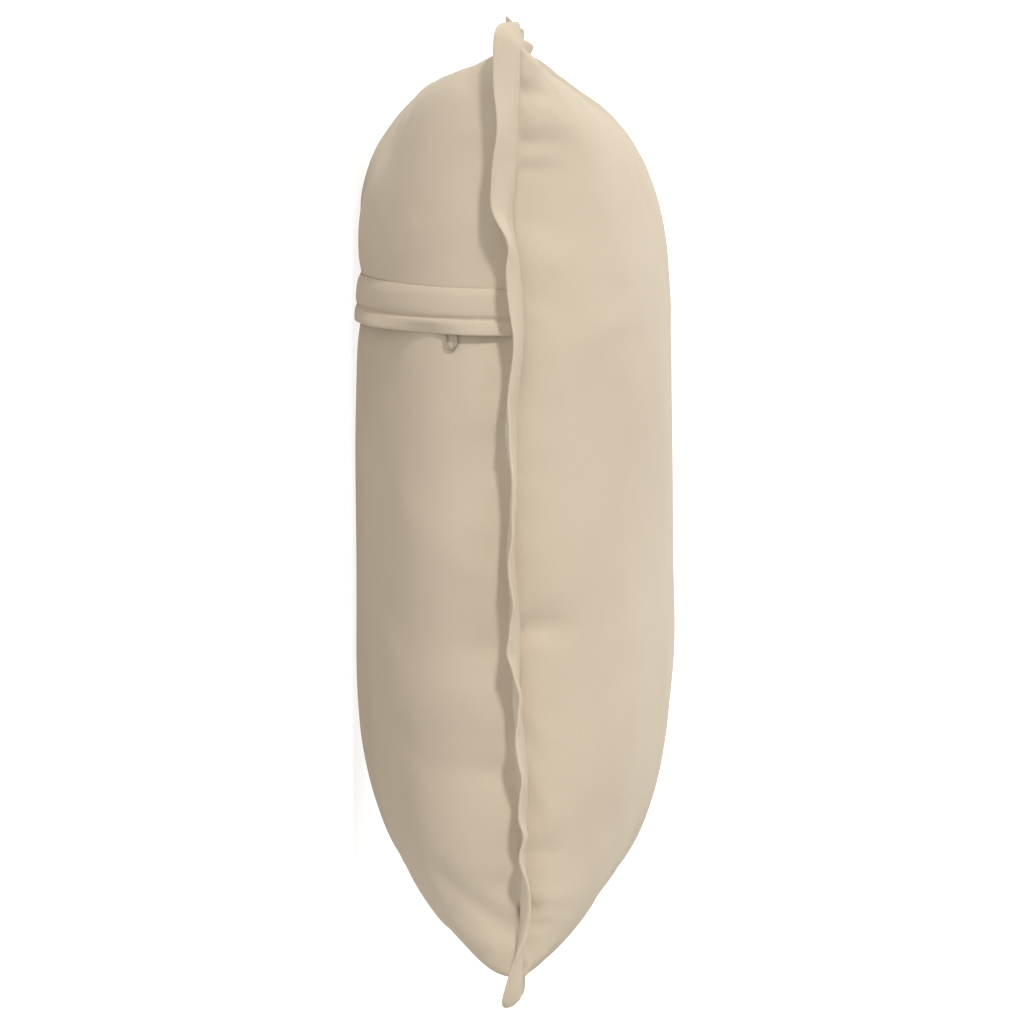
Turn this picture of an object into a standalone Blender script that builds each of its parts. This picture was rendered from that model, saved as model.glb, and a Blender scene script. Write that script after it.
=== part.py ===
"""Back cushion of a low outdoor seat, lying on its back with its face up.

Metres, +Z up. X runs along the cushion's width, Y from its bottom edge to its top edge.
The origin lies on the surface that the cushion rests on, below the middle of its box.

The cushion is one filled cover with a flange all round its seam. A flap of folded cloth
crosses its back and hides a zip, whose pull ring shows below the flap near the left end.
"""

import itertools
import math

import bmesh
import bpy
import numpy as np
from mathutils import Vector

# Driving sizes of the cover: half the panel inside the seam, and how plump it is
PANEL_HALF_WIDTH = 0.2845
PANEL_HALF_HEIGHT = 0.1770
SEAM_HEIGHT = 0.0655
FRONT_CROWN = 0.0622
BACK_CROWN = 0.0682

# How far the middle of each side is drawn in by the filling, and how squarely
DRAW_IN_ENDS = 0.014
DRAW_IN_EDGES = 0.0165
DRAW_IN_ENDS_POWER = 2.5
DRAW_IN_EDGES_POWER = 3.6
DRAW_IN_FADE = 3

# How far each corner of the panel reaches up or down past that outline: (end, edge)
CORNER_REACH = {(-1, -1): 0.0030, (-1, 1): 0.0026, (1, -1): 0.0000, (1, 1): -0.0035}
CORNER_REACH_POWER = 6

# Fullness of the crown's profile (1 - |t|**full) ** (1 / blunt), towards each side
PROFILES = {
    "ends": {"full": 3.1, "blunt": 2.6},
    "front_top": {"full": 4.6, "blunt": 1.95},
    "front_bottom": {"full": 4.3, "blunt": 2.6},
    "back_top": {"full": 5.0, "blunt": 3.1},
    "back_bottom": {"full": 2.6, "blunt": 4.2},
}

# The cover presses flat on its back over this softness
PRESS_SOFTNESS = 0.0010

# Seam, flange and the clearance that touching cloth keeps
CLEARANCE = 0.0003
CLOTH_STACK = 0.0018
FLANGE_WIDTH = 0.0150
FLANGE_STIFF_WIDTH = 0.0022
FLANGE_MIDDLE = 0.55
FLANGE_LEAN_AT_ROOT = 0.5
CORNER_FAN_POWER = 14
SEAM_BLEND_POWER = 12

# Zip flap on the back: where its middle lies between the edges, its dip at the ends, and its cloth
FLAP_BOTTOM_Y = 0.0701
FLAP_TOP_Y = 0.0886
FLAP_DIP_AT_ENDS = 0.0023
FLAP_DIP_POWER = 4
FLAP_CLOTH = 0.0011
FLAP_PRESS = 0.0031
FLAP_SHOULDER = 0.0030
FLAP_END_COLUMN = 1
FLAP_SECTION = (
    # distance up from the flap's lower edge, gap between its underside and the back
    {"up": 0.0000, "gap": 0.00170},
    {"up": 0.0010, "gap": 0.00190},
    {"up": 0.0036, "gap": 0.00180},
    {"up": 0.0053, "gap": 0.00150},
    {"up": 0.0064, "gap": 0.00065},
    {"up": 0.0077, "gap": 0.00150},
    {"up": 0.0130, "gap": 0.00110},
    {"up": 0.0185, "gap": 0.00040},
)

# The back clears the surface a little beside the flap
BESIDE_FLAP = {"lift": 0.0011, "starts_y": 0.030}

# Pull ring of the hidden zip
RING_BOTTOM_Y = 0.0611
RING_LENGTH = 0.0098
RING_WIDTH = 0.0064
RING_WIRE = 0.0010
RING_DROP = 0.0270
RING_ASIDE = 0.0018
RING_POINTS = 22

# Mesh steps: the cover's grid and the flange's stations
COLUMNS = 46
ROWS = 36
RIM_STEP = 0.0035
TURN_RADIUS = 0.020
FLANGE_STEP = 0.0068

# Points on the lines that lengths and places are measured along
COARSE_LINE = 161
FINE_LINE = 4001
ROW_LINE = 801
NORMAL_STEP = 0.002

# Folds along each side, in order: place along it, rise of the seam, lean of the flange's free edge
# The left end is the one whose folds are known best
LEFT_END_FOLDS = (
    {"at": -0.189, "seam": 0.0008, "lean": -0.0078},
    {"at": -0.182, "seam": 0.0011, "lean": -0.0040},
    {"at": -0.175, "seam": 0.0014, "lean": 0.0015},
    {"at": -0.167, "seam": 0.0015, "lean": 0.0053},
    {"at": -0.158, "seam": 0.0017, "lean": 0.0043},
    {"at": -0.147, "seam": 0.0022, "lean": 0.0012},
    {"at": -0.134, "seam": 0.0024, "lean": -0.0021},
    {"at": -0.110, "seam": 0.0030, "lean": -0.0025},
    {"at": -0.095, "seam": 0.0018, "lean": -0.0031},
    {"at": -0.075, "seam": -0.0004, "lean": -0.0016},
    {"at": -0.060, "seam": 0.0000, "lean": -0.0022},
    {"at": -0.047, "seam": 0.0000, "lean": -0.0042},
    {"at": -0.033, "seam": -0.0012, "lean": -0.0021},
    {"at": -0.016, "seam": -0.0022, "lean": -0.0026},
    {"at": 0.010, "seam": -0.0012, "lean": -0.0008},
    {"at": 0.030, "seam": -0.0015, "lean": -0.0036},
    {"at": 0.046, "seam": -0.0008, "lean": -0.0040},
    {"at": 0.070, "seam": 0.0014, "lean": -0.0030},
    {"at": 0.088, "seam": 0.0012, "lean": -0.0055},
    {"at": 0.104, "seam": -0.0004, "lean": -0.0048},
    {"at": 0.111, "seam": -0.0014, "lean": -0.0044},
    {"at": 0.119, "seam": -0.0030, "lean": -0.0074},
    {"at": 0.136, "seam": -0.0018, "lean": -0.0084},
    {"at": 0.153, "seam": -0.0008, "lean": -0.0062},
    {"at": 0.166, "seam": -0.0006, "lean": -0.0086},
    {"at": 0.180, "seam": 0.0000, "lean": -0.0106},
    {"at": 0.190, "seam": 0.0000, "lean": -0.0096},
)
RIGHT_END_FOLDS = (
    {"at": -0.190, "seam": 0.0000, "lean": 0.0050},
    {"at": -0.160, "seam": 0.0010, "lean": 0.0012},
    {"at": -0.128, "seam": -0.0012, "lean": -0.0042},
    {"at": -0.096, "seam": 0.0004, "lean": -0.0010},
    {"at": -0.058, "seam": 0.0016, "lean": 0.0026},
    {"at": -0.022, "seam": -0.0006, "lean": -0.0028},
    {"at": 0.020, "seam": -0.0014, "lean": -0.0048},
    {"at": 0.058, "seam": 0.0008, "lean": -0.0012},
    {"at": 0.090, "seam": 0.0012, "lean": 0.0018},
    {"at": 0.130, "seam": -0.0012, "lean": -0.0040},
    {"at": 0.162, "seam": 0.0000, "lean": -0.0026},
    {"at": 0.190, "seam": 0.0000, "lean": -0.0045},
)
TOP_EDGE_FOLDS = (
    {"at": -0.298, "seam": 0.0000, "lean": -0.0096},
    {"at": -0.291, "seam": 0.0000, "lean": -0.0002},
    {"at": -0.284, "seam": 0.0000, "lean": 0.0047},
    {"at": -0.276, "seam": 0.0002, "lean": 0.0039},
    {"at": -0.268, "seam": 0.0002, "lean": 0.0012},
    {"at": -0.255, "seam": 0.0004, "lean": -0.0043},
    {"at": -0.240, "seam": 0.0004, "lean": -0.0025},
    {"at": -0.212, "seam": 0.0004, "lean": 0.0062},
    {"at": -0.190, "seam": 0.0000, "lean": 0.0010},
    {"at": -0.168, "seam": -0.0010, "lean": -0.0044},
    {"at": -0.130, "seam": 0.0004, "lean": 0.0012},
    {"at": -0.088, "seam": 0.0014, "lean": 0.0034},
    {"at": -0.040, "seam": -0.0006, "lean": -0.0030},
    {"at": 0.012, "seam": -0.0012, "lean": -0.0048},
    {"at": 0.060, "seam": 0.0008, "lean": 0.0008},
    {"at": 0.104, "seam": 0.0012, "lean": 0.0036},
    {"at": 0.150, "seam": -0.0008, "lean": -0.0034},
    {"at": 0.196, "seam": -0.0008, "lean": -0.0020},
    {"at": 0.240, "seam": 0.0006, "lean": 0.0030},
    {"at": 0.272, "seam": 0.0002, "lean": -0.0012},
    {"at": 0.298, "seam": 0.0000, "lean": -0.0045},
)
BOTTOM_EDGE_FOLDS = (
    {"at": -0.298, "seam": 0.0008, "lean": -0.0078},
    {"at": -0.291, "seam": 0.0008, "lean": 0.0006},
    {"at": -0.282, "seam": 0.0006, "lean": 0.0030},
    {"at": -0.246, "seam": 0.0000, "lean": 0.0030},
    {"at": -0.204, "seam": -0.0010, "lean": -0.0012},
    {"at": -0.162, "seam": -0.0006, "lean": -0.0050},
    {"at": -0.112, "seam": 0.0010, "lean": 0.0004},
    {"at": -0.066, "seam": 0.0012, "lean": 0.0032},
    {"at": -0.014, "seam": -0.0008, "lean": -0.0034},
    {"at": 0.040, "seam": -0.0012, "lean": -0.0046},
    {"at": 0.086, "seam": 0.0006, "lean": 0.0010},
    {"at": 0.134, "seam": 0.0012, "lean": 0.0028},
    {"at": 0.186, "seam": -0.0006, "lean": -0.0040},
    {"at": 0.232, "seam": -0.0004, "lean": -0.0008},
    {"at": 0.270, "seam": 0.0004, "lean": 0.0036},
    {"at": 0.298, "seam": 0.0000, "lean": 0.0050},
)

# Soft puckers that run in from the seam: place along the side, depth, half width, how far in they reach
LEFT_END_PUCKERS = (
    {"face": "front", "at": 0.1355, "depth": 0.0026, "spread": 0.0090, "reach": 0.030},
    {"face": "front", "at": -0.0465, "depth": 0.0022, "spread": 0.0080, "reach": 0.030},
    {"face": "front", "at": -0.1345, "depth": 0.0020, "spread": 0.0080, "reach": 0.028},
    {"face": "front", "at": 0.0125, "depth": 0.0012, "spread": 0.0120, "reach": 0.045},
    {"face": "back", "at": -0.0530, "depth": 0.0022, "spread": 0.0100, "reach": 0.034},
    {"face": "back", "at": -0.1020, "depth": 0.0024, "spread": 0.0090, "reach": 0.036},
    {"face": "back", "at": -0.1565, "depth": 0.0026, "spread": 0.0100, "reach": 0.032},
    {"face": "back", "at": 0.0145, "depth": 0.0012, "spread": 0.0120, "reach": 0.040},
)
RIGHT_END_PUCKERS = (
    {"face": "front", "at": 0.118, "depth": 0.0022, "spread": 0.0100, "reach": 0.032},
    {"face": "front", "at": 0.030, "depth": 0.0018, "spread": 0.0090, "reach": 0.030},
    {"face": "front", "at": -0.072, "depth": 0.0024, "spread": 0.0100, "reach": 0.036},
    {"face": "front", "at": -0.138, "depth": 0.0018, "spread": 0.0080, "reach": 0.026},
    {"face": "back", "at": 0.010, "depth": 0.0020, "spread": 0.0100, "reach": 0.032},
    {"face": "back", "at": -0.105, "depth": 0.0024, "spread": 0.0110, "reach": 0.036},
)
TOP_EDGE_PUCKERS = (
    {"face": "front", "at": -0.190, "depth": 0.0026, "spread": 0.0120, "reach": 0.040},
    {"face": "front", "at": -0.080, "depth": 0.0020, "spread": 0.0110, "reach": 0.034},
    {"face": "front", "at": 0.044, "depth": 0.0026, "spread": 0.0130, "reach": 0.044},
    {"face": "front", "at": 0.168, "depth": 0.0022, "spread": 0.0110, "reach": 0.036},
    {"face": "back", "at": -0.140, "depth": 0.0022, "spread": 0.0120, "reach": 0.034},
    {"face": "back", "at": 0.000, "depth": 0.0018, "spread": 0.0120, "reach": 0.030},
    {"face": "back", "at": 0.130, "depth": 0.0024, "spread": 0.0120, "reach": 0.036},
)
BOTTOM_EDGE_PUCKERS = (
    {"face": "front", "at": -0.205, "depth": 0.0024, "spread": 0.0110, "reach": 0.036},
    {"face": "front", "at": -0.110, "depth": 0.0026, "spread": 0.0130, "reach": 0.042},
    {"face": "front", "at": 0.006, "depth": 0.0020, "spread": 0.0120, "reach": 0.036},
    {"face": "front", "at": 0.112, "depth": 0.0028, "spread": 0.0130, "reach": 0.044},
    {"face": "front", "at": 0.214, "depth": 0.0022, "spread": 0.0110, "reach": 0.034},
    {"face": "back", "at": -0.160, "depth": 0.0024, "spread": 0.0130, "reach": 0.036},
    {"face": "back", "at": -0.020, "depth": 0.0022, "spread": 0.0120, "reach": 0.034},
    {"face": "back", "at": 0.150, "depth": 0.0024, "spread": 0.0130, "reach": 0.038},
)
PUCKER_RISE = 0.006

FACES = {"front": 1, "back": -1}

# Edges that turn more than this are drawn sharp
SHARP_ANGLE = math.radians(50)

# Colours, linear
CLOTH_COLOUR = (0.62, 0.52, 0.39)
RING_COLOUR = (0.34, 0.27, 0.19)


def signed_power(t, power):
    return math.copysign(abs(t) ** power, t)


def smooth_step(t):
    t = min(1.0, max(0.0, t))
    return t * t * (3 - 2 * t)


def profile(t, which):
    """Share of the crown's height at t, from 1 in the middle to 0 at the seam."""
    shape = PROFILES[which]
    return max(0.0, 1 - abs(t) ** shape["full"]) ** (1 / shape["blunt"])


def read_folds(folds, place, column):
    """A smooth line through one column of a fold table."""
    places = [row["at"] for row in folds]
    values = [row[column] for row in folds]
    slopes = np.gradient(values, places)
    place = min(max(place, places[0]), places[-1])
    k = min(int(np.searchsorted(places, place, side="right")) - 1, len(places) - 2)
    span = places[k + 1] - places[k]
    t = (place - places[k]) / span
    h_start = (1 + 2 * t) * (1 - t) ** 2
    h_end = t * t * (3 - 2 * t)
    h_slopes = t * (1 - t) ** 2 * slopes[k] - t * t * (1 - t) * slopes[k + 1]
    return h_start * values[k] + h_end * values[k + 1] + h_slopes * span


def around_seam(u, v, column):
    """A fold table's value at a place between the four sides, each counting most near itself."""
    near_end = abs(u) ** SEAM_BLEND_POWER
    near_edge = abs(v) ** SEAM_BLEND_POWER
    end = LEFT_END_FOLDS if u < 0 else RIGHT_END_FOLDS
    edge = BOTTOM_EDGE_FOLDS if v < 0 else TOP_EDGE_FOLDS
    along_end = read_folds(end, v * end[-1]["at"], column)
    along_edge = read_folds(edge, u * edge[-1]["at"], column)
    both = near_end * along_end + near_edge * along_edge
    return both / max(1.0, near_end + near_edge)


def plan(u, v):
    """Where a place on the panel lies seen from above, its sides drawn in by the filling."""
    pulled_x = DRAW_IN_ENDS * (1 - abs(v) ** DRAW_IN_ENDS_POWER)
    pulled_y = DRAW_IN_EDGES * (1 - abs(u) ** DRAW_IN_EDGES_POWER)
    x = u * PANEL_HALF_WIDTH - signed_power(u, DRAW_IN_FADE) * pulled_x
    y = v * PANEL_HALF_HEIGHT - signed_power(v, DRAW_IN_FADE) * pulled_y
    corner = CORNER_REACH[-1 if u < 0 else 1, -1 if v < 0 else 1]
    return x, y + math.copysign(corner * abs(u * v) ** CORNER_REACH_POWER, corner * v)


def flap_dip(u):
    """How much lower the flap lies in a column than in the middle of the width."""
    return FLAP_DIP_AT_ENDS * abs(u) ** FLAP_DIP_POWER


def rest_level(u, y):
    """How far the back stays off the surface: a few millimetres at most, by the flap."""
    y += flap_dip(u)
    beside = BESIDE_FLAP["lift"] * smooth_step(
        (y - BESIDE_FLAP["starts_y"]) / (FLAP_BOTTOM_Y - FLAP_SHOULDER - BESIDE_FLAP["starts_y"])
    )
    into = smooth_step((y - FLAP_BOTTOM_Y + FLAP_SHOULDER) / FLAP_SHOULDER)
    out = smooth_step((y - FLAP_TOP_Y) / FLAP_SHOULDER)
    return beside + (FLAP_PRESS - beside) * (into - out)


def pressed(height):
    """Height over the rest level after the cushion's weight flattens it, smoothly."""
    if height < -PRESS_SOFTNESS:
        return 0.0
    if height < PRESS_SOFTNESS:
        return (height + PRESS_SOFTNESS) ** 2 / (4 * PRESS_SOFTNESS)
    return height


def smooth_surface(u, v, side):
    """A point of the cover's front (side 1) or back (side -1), before its puckers."""
    x, y = plan(u, v)
    end = "top" if v > 0 else "bottom"
    middle = SEAM_HEIGHT + around_seam(u, v, "seam")
    lip = side * CLOTH_STACK / 2
    if side > 0:
        crown = FRONT_CROWN * profile(u, "ends") * profile(v, "front_" + end)
        return Vector((x, y, middle + lip + crown))
    crown = BACK_CROWN * profile(u, "ends") * profile(v, "back_" + end)
    level = rest_level(u, y)
    return Vector((x, y, level + pressed(middle + lip - crown - level)))


def outward_normal(u, v, side):
    """The smooth surface's normal, from points a small step away on each side."""
    low_u, high_u = max(-1, u - NORMAL_STEP), min(1, u + NORMAL_STEP)
    low_v, high_v = max(-1, v - NORMAL_STEP), min(1, v + NORMAL_STEP)
    along_u = smooth_surface(high_u, v, side) - smooth_surface(low_u, v, side)
    along_v = smooth_surface(u, high_v, side) - smooth_surface(u, low_v, side)
    return (along_u.cross(along_v) * side).normalized()


def trough(row, along, inward):
    """Depth of one pucker at a place: full a little way in from the seam, fading on."""
    across = math.exp(-(((along - row["at"]) / row["spread"]) ** 2))
    start = smooth_step(inward / PUCKER_RISE)
    fade = math.exp(-((inward / row["reach"]) ** 2))
    return row["depth"] * across * start * fade


def pucker_depth(x, y, from_seam, side):
    """All puckers at a point; from_seam is its distance from the seam along the cloth."""
    found = 0.0
    tables = (
        (LEFT_END_PUCKERS, y, from_seam["left"]),
        (RIGHT_END_PUCKERS, y, from_seam["right"]),
        (BOTTOM_EDGE_PUCKERS, x, from_seam["bottom"]),
        (TOP_EDGE_PUCKERS, x, from_seam["top"]),
    )
    for table, along, inward in tables:
        for row in table:
            if FACES[row["face"]] == side:
                found += trough(row, along, inward)
    return found


def profile_line(half, crown, which, count):
    """Places from -1 to 1 on a profile, its heights there, and the cloth's length up to each."""
    steps = np.linspace(-1, 1, count)
    heights = np.array([crown * profile(s, which) for s in steps])
    pieces = np.hypot(np.diff(steps * half), np.diff(heights))
    return steps, heights, np.concatenate([[0], np.cumsum(pieces)])


def cloth_distance(t, half, crown, which):
    """Distances along the cloth from the seam at -1 to t, and from t to the seam at 1."""
    steps, _, lengths = profile_line(half, crown, which, COARSE_LINE)
    here = float(np.interp(t, steps, lengths))
    return here, float(lengths[-1]) - here


def even_steps(half, crown, which, count):
    """Places from -1 to 1, closer where the profile turns, with a fine step at each rim."""
    steps, heights, lengths = profile_line(half, crown, which, FINE_LINE)
    angles = np.arctan2(np.diff(heights), np.diff(steps * half))
    turns = np.concatenate([[0, 0], np.cumsum(np.abs(np.diff(angles)))])
    measure = lengths + TURN_RADIUS * turns
    ends = np.interp([RIM_STEP, lengths[-1] - RIM_STEP], lengths, measure)
    wanted = np.linspace(ends[0], ends[1], count - 1)
    inner = [float(s) for s in np.interp(wanted, measure, steps)]
    return [-1.0, *inner, 1.0]


def cover_columns():
    return even_steps(PANEL_HALF_WIDTH, FRONT_CROWN, "ends", COLUMNS)


def cover_rows():
    """Even rows, with their own rows at the flap's edges and shoulders."""
    even = even_steps(PANEL_HALF_HEIGHT, FRONT_CROWN, "front_top", ROWS)
    flap_middle = (FLAP_BOTTOM_Y + FLAP_TOP_Y) / 2
    ys = (
        FLAP_BOTTOM_Y - FLAP_SHOULDER,
        FLAP_BOTTOM_Y,
        flap_middle,
        FLAP_TOP_Y,
        FLAP_TOP_Y + FLAP_SHOULDER,
    )
    own = [row_at(y) for y in ys]
    spare = 0.4 * (even[ROWS // 2 + 1] - even[ROWS // 2])
    kept = [v for v in even if not own[0] - spare < v < own[-1] + spare]
    return sorted(kept + own)


def row_at(y, u=0):
    """The v that lies at this y, in the middle of the width or in another column."""
    vs = np.linspace(-1, 1, ROW_LINE)
    ys = [plan(u, v)[1] for v in vs]
    return float(np.interp(y, ys, vs))


def collection_named(name):
    found = bpy.data.collections.new(name)
    bpy.context.scene.collection.children.link(found)
    return found


def plain_material(name, colour, roughness):
    made = bpy.data.materials.new(name)
    made.use_nodes = True
    shader = made.node_tree.nodes["Principled BSDF"]
    shader.inputs["Base Color"].default_value = (*colour, 1.0)
    shader.inputs["Roughness"].default_value = roughness
    shader.inputs["Metallic"].default_value = 0.0
    made.diffuse_color = (*colour, 1.0)
    return made


def add_mesh(bm, name, home, material):
    """Makes a named object of a bmesh, with its normals outwards and its faces shaded smooth."""
    bmesh.ops.recalc_face_normals(bm, faces=bm.faces[:])
    mesh = bpy.data.meshes.new(name)
    bm.to_mesh(mesh)
    bm.free()
    mesh.shade_smooth()
    mesh.set_sharp_from_angle(angle=SHARP_ANGLE)
    mesh.materials.append(material)
    made = bpy.data.objects.new(name, mesh)
    home.objects.link(made)
    return made


def cover_point(u, v, side):
    """A point of the finished cover, puckers included."""
    point = smooth_surface(u, v, side)
    if abs(u) == 1 or abs(v) == 1:
        return point
    left, right = cloth_distance(u, PANEL_HALF_WIDTH, FRONT_CROWN, "ends")
    bottom, top = cloth_distance(v, PANEL_HALF_HEIGHT, FRONT_CROWN, "front_top")
    from_seam = {"left": left, "right": right, "bottom": bottom, "top": top}
    depth = pucker_depth(point.x, point.y, from_seam, side)
    return point - outward_normal(u, v, side) * depth


def build_cover(home, material):
    """The filled cover: two crowned panels, joined by a narrow band where the flange is sewn on."""
    columns = cover_columns()
    rows = cover_rows()
    bm = bmesh.new()
    for side in (1, -1):
        count = len(bm.verts)
        bmesh.ops.create_grid(bm, x_segments=len(columns) - 1, y_segments=len(rows) - 1, size=1)
        bm.verts.ensure_lookup_table()
        for vertex in bm.verts[count:]:
            i = round((vertex.co.x + 1) / 2 * (len(columns) - 1))
            j = round((vertex.co.y + 1) / 2 * (len(rows) - 1))
            vertex.co = cover_point(columns[i], rows[j], side)
    rims = [edge for edge in bm.edges if edge.is_boundary]
    bmesh.ops.bridge_loops(bm, edges=rims)
    return add_mesh(bm, "cushion_cover", home, material)


def seam_stations():
    """Places (u, v) round the seam, evenly spaced, with one on each corner."""
    corners = ((-1, -1), (1, -1), (1, 1), (-1, 1))
    stations = []
    for k, (u0, v0) in enumerate(corners):
        u1, v1 = corners[(k + 1) % len(corners)]
        length = 2 * (PANEL_HALF_WIDTH if v0 == v1 else PANEL_HALF_HEIGHT)
        count = round(length / FLANGE_STEP)
        for n in range(count):
            t = n / count
            stations.append((u0 + (u1 - u0) * t, v0 + (v1 - v0) * t))
    return stations


def flange_point(u, v, out):
    """A point on the flange's middle surface, a given way out from the seam."""
    x, y = plan(u, v)
    z = SEAM_HEIGHT + around_seam(u, v, "seam")
    lean = around_seam(u, v, "lean")
    past = max(0.0, (out - FLANGE_STIFF_WIDTH) / (FLANGE_WIDTH - FLANGE_STIFF_WIDTH))
    dropped = lean * (FLANGE_LEAN_AT_ROOT * past + (1 - FLANGE_LEAN_AT_ROOT) * past * past)
    reach = math.sqrt(out * out - dropped * dropped)
    fan_x = signed_power(u, CORNER_FAN_POWER)
    fan_y = signed_power(v, CORNER_FAN_POWER)
    return Vector((x + reach * fan_x, y + reach * fan_y, z + dropped))


def build_flange(home, material):
    """The double-cloth flange: one wavy band round the seam, standing out from it."""
    middle_out = FLANGE_STIFF_WIDTH + FLANGE_MIDDLE * (FLANGE_WIDTH - FLANGE_STIFF_WIDTH)
    rings = (CLEARANCE, FLANGE_STIFF_WIDTH, middle_out, FLANGE_WIDTH)
    stations = seam_stations()
    bm = bmesh.new()
    loops = []
    for out in rings:
        ring = [bm.verts.new(flange_point(u, v, out)) for u, v in stations]
        loops.append([bm.edges.new((ring[k - 1], ring[k])) for k in range(len(ring))])
    for inner, outer in zip(loops, loops[1:]):
        bmesh.ops.bridge_loops(bm, edges=inner + outer)
    made = add_mesh(bm, "flange", home, material)
    stack = made.modifiers.new("double cloth", "SOLIDIFY")
    stack.thickness = CLOTH_STACK
    stack.offset = 0
    stack.use_even_offset = True
    return made


def build_flap(home, material):
    """The folded flap over the zip: an open sheet on the back's columns, thickened outwards."""
    columns = cover_columns()[FLAP_END_COLUMN:-FLAP_END_COLUMN]
    middle_y = (FLAP_BOTTOM_Y + FLAP_TOP_Y) / 2
    bm = bmesh.new()
    outward = bm.verts.layers.float_vector.new("outward")
    bmesh.ops.create_grid(bm, x_segments=len(columns) - 1, y_segments=len(FLAP_SECTION) - 1, size=1)
    for vertex in bm.verts:
        i = round((vertex.co.x + 1) / 2 * (len(columns) - 1))
        j = round((vertex.co.y + 1) / 2 * (len(FLAP_SECTION) - 1))
        u = columns[i]
        v = row_at(FLAP_BOTTOM_Y + FLAP_SECTION[j]["up"] - flap_dip(u), u)
        normal = outward_normal(u, row_at(middle_y - flap_dip(u), u), -1)
        vertex[outward] = normal
        vertex.co = smooth_surface(u, v, -1) + normal * FLAP_SECTION[j]["gap"]
    raised = bmesh.ops.extrude_face_region(bm, geom=bm.faces[:])["geom"]
    for vertex in (item for item in raised if isinstance(item, bmesh.types.BMVert)):
        vertex.co += vertex[outward] * FLAP_CLOTH
    return add_mesh(bm, "zip_flap", home, material)


def ring_cell():
    """The flat face of the back, near the left end, that the ring lies on: its two columns."""
    columns = cover_columns()
    v = row_at(RING_BOTTOM_Y + RING_LENGTH / 2)
    cells = list(zip(columns, columns[1:]))[: len(columns) // 2]
    return min(cells, key=lambda cell: abs(ring_drop(cell, v) - RING_DROP))


def ring_drop(cell, v):
    first, last = (smooth_surface(u, v, -1).z for u in cell)
    return SEAM_HEIGHT - (first + last) / 2


def build_ring(home, material):
    """The zip's pull ring: a long closed loop of wire, flat against the back below the flap."""
    cell = ring_cell()
    low, high = (row_at(y) for y in (RING_BOTTOM_Y, RING_BOTTOM_Y + RING_LENGTH))
    corners = [cover_point(u, v, -1) for u, v in itertools.product(cell, (low, high))]
    centre = sum(corners, Vector()) / len(corners)
    upward = corners[1] + corners[3] - corners[0] - corners[2]
    sideways = corners[2] + corners[3] - corners[0] - corners[1]
    out = upward.cross(sideways).normalized()
    up = (upward - out * upward.dot(out)).normalized()
    across = up.cross(out)
    half_round = (RING_WIDTH - RING_WIRE) / 2
    half_straight = (RING_LENGTH - RING_WIRE) / 2 - half_round
    middle = centre + out * (CLEARANCE + RING_WIRE / 2) + across * RING_ASIDE
    curve = bpy.data.curves.new("zip_pull_ring", "CURVE")
    curve.dimensions = "3D"
    curve.bevel_depth = RING_WIRE / 2
    curve.bevel_resolution = 2
    spline = curve.splines.new("POLY")
    spline.points.add(RING_POINTS - 1)
    for k, point in enumerate(spline.points):
        turn = 2 * math.pi * (k + 0.5) / RING_POINTS
        end = math.copysign(half_straight, math.sin(turn))
        place = middle + across * (half_round * math.cos(turn))
        place += up * (half_round * math.sin(turn) + end)
        point.co = (*place, 1)
    spline.use_cyclic_u = True
    curve.materials.append(material)
    made = bpy.data.objects.new("zip_pull_ring", curve)
    home.objects.link(made)
    return made


def centre_on_origin(pieces, carrier):
    """Puts the box of all the pieces over the origin, its lowest point on the surface."""
    bpy.context.view_layer.update()
    graph = bpy.context.evaluated_depsgraph_get()
    corners = []
    for piece in pieces:
        shown = piece.evaluated_get(graph)
        mesh = shown.to_mesh()
        corners += [shown.matrix_world @ vertex.co for vertex in mesh.vertices]
        shown.to_mesh_clear()
    low = [min(point[axis] for point in corners) for axis in range(3)]
    high = [max(point[axis] for point in corners) for axis in range(3)]
    carrier.location = (-(low[0] + high[0]) / 2, -(low[1] + high[1]) / 2, -low[2])


def main():
    for old in list(bpy.data.objects):
        bpy.data.objects.remove(old)
    home = collection_named("back_cushion")
    cloth = plain_material("beige_cloth", CLOTH_COLOUR, 0.85)
    paint = plain_material("ring_paint", RING_COLOUR, 0.45)
    pieces = [
        build_cover(home, cloth),
        build_flange(home, cloth),
        build_flap(home, cloth),
        build_ring(home, paint),
    ]
    carrier = bpy.data.objects.new("cushion", None)
    home.objects.link(carrier)
    for piece in pieces:
        piece.parent = carrier
    centre_on_origin(pieces, carrier)


main()
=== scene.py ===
# %% [markdown]
# # A plump back cushion
# The real thing is a bag of plain beige cloth, filled tight with soft fibre. Two panels meet in a
# seam, and outside the seam both layers go on as a flat flange that has crept into small waves.
# The solids of the frame have its true shape already. This script gives that shape its cloth:
# finer meshes, the puckers that a filled cover pulls from its seam, and the stitches. It also sets
# the camera and the light.

import math

import bmesh
import bpy
import numpy as np
from mathutils import Matrix, Vector, noise
from mathutils.bvhtree import BVHTree
from mathutils.kdtree import KDTree


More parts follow.
